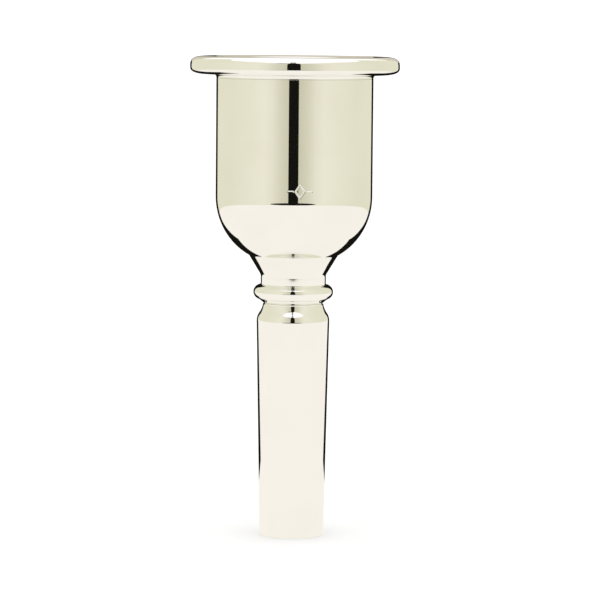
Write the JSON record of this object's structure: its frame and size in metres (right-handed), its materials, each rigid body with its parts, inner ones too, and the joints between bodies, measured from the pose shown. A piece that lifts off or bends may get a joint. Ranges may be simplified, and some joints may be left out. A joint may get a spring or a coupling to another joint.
{
  "type": "brass instrument mouthpiece",
  "caption": "Silver-plated cup mouthpiece with a rounded rim, a deep cylindrical bowl, a beaded waist and a long tapered shank; the rim and the shank screw into the cup.",
  "frame": {"origin": "centre of the open tip of the shank, on its flat end face", "axes": "+Z along the bore, from the tip of the shank to the rim that the lips rest on; +X and +Y are any two directions across it"},
  "size_m": [0.0396, 0.0396, 0.0909],
  "materials": {
    "silver_plate": "mirror-polished silver plate over brass",
    "black_rubber": "matt black nitrile rubber"
  },
  "bodies": {
    "shank": {"shank": "silver_plate"},
    "shank_seal": {"shank_seal_ring": "black_rubber"},
    "cup": {"cup": "silver_plate"},
    "rim_seal": {"rim_seal_ring": "black_rubber"},
    "rim": {"rim": "silver_plate"}
  },
  "joints": [
    {"name": "cup_turn", "type": "hinge", "parent": "shank", "child": "shank_seal", "pos_m": [0, 0, 0.0443], "axis": [0, 0, 1], "range_deg": [0, 2160]},
    {"name": "cup_rise", "type": "slide", "parent": "shank_seal", "child": "cup", "axis": [0, 0, 1], "range_m": [0, 0.006]},
    {"name": "rim_rise", "type": "slide", "parent": "cup", "child": "rim_seal", "axis": [0, 0, 1], "range_m": [0, 0.0045]},
    {"name": "rim_turn", "type": "hinge", "parent": "rim_seal", "child": "rim", "pos_m": [0, 0, 0.0868], "axis": [0, 0, 1], "range_deg": [0, 1620]}
  ],
  "couplings": [
    {"joint": "cup_turn", "follows": "cup_rise", "rad_per_m": 6283.2},
    {"joint": "rim_turn", "follows": "rim_rise", "rad_per_m": 6283.2}
  ]
}
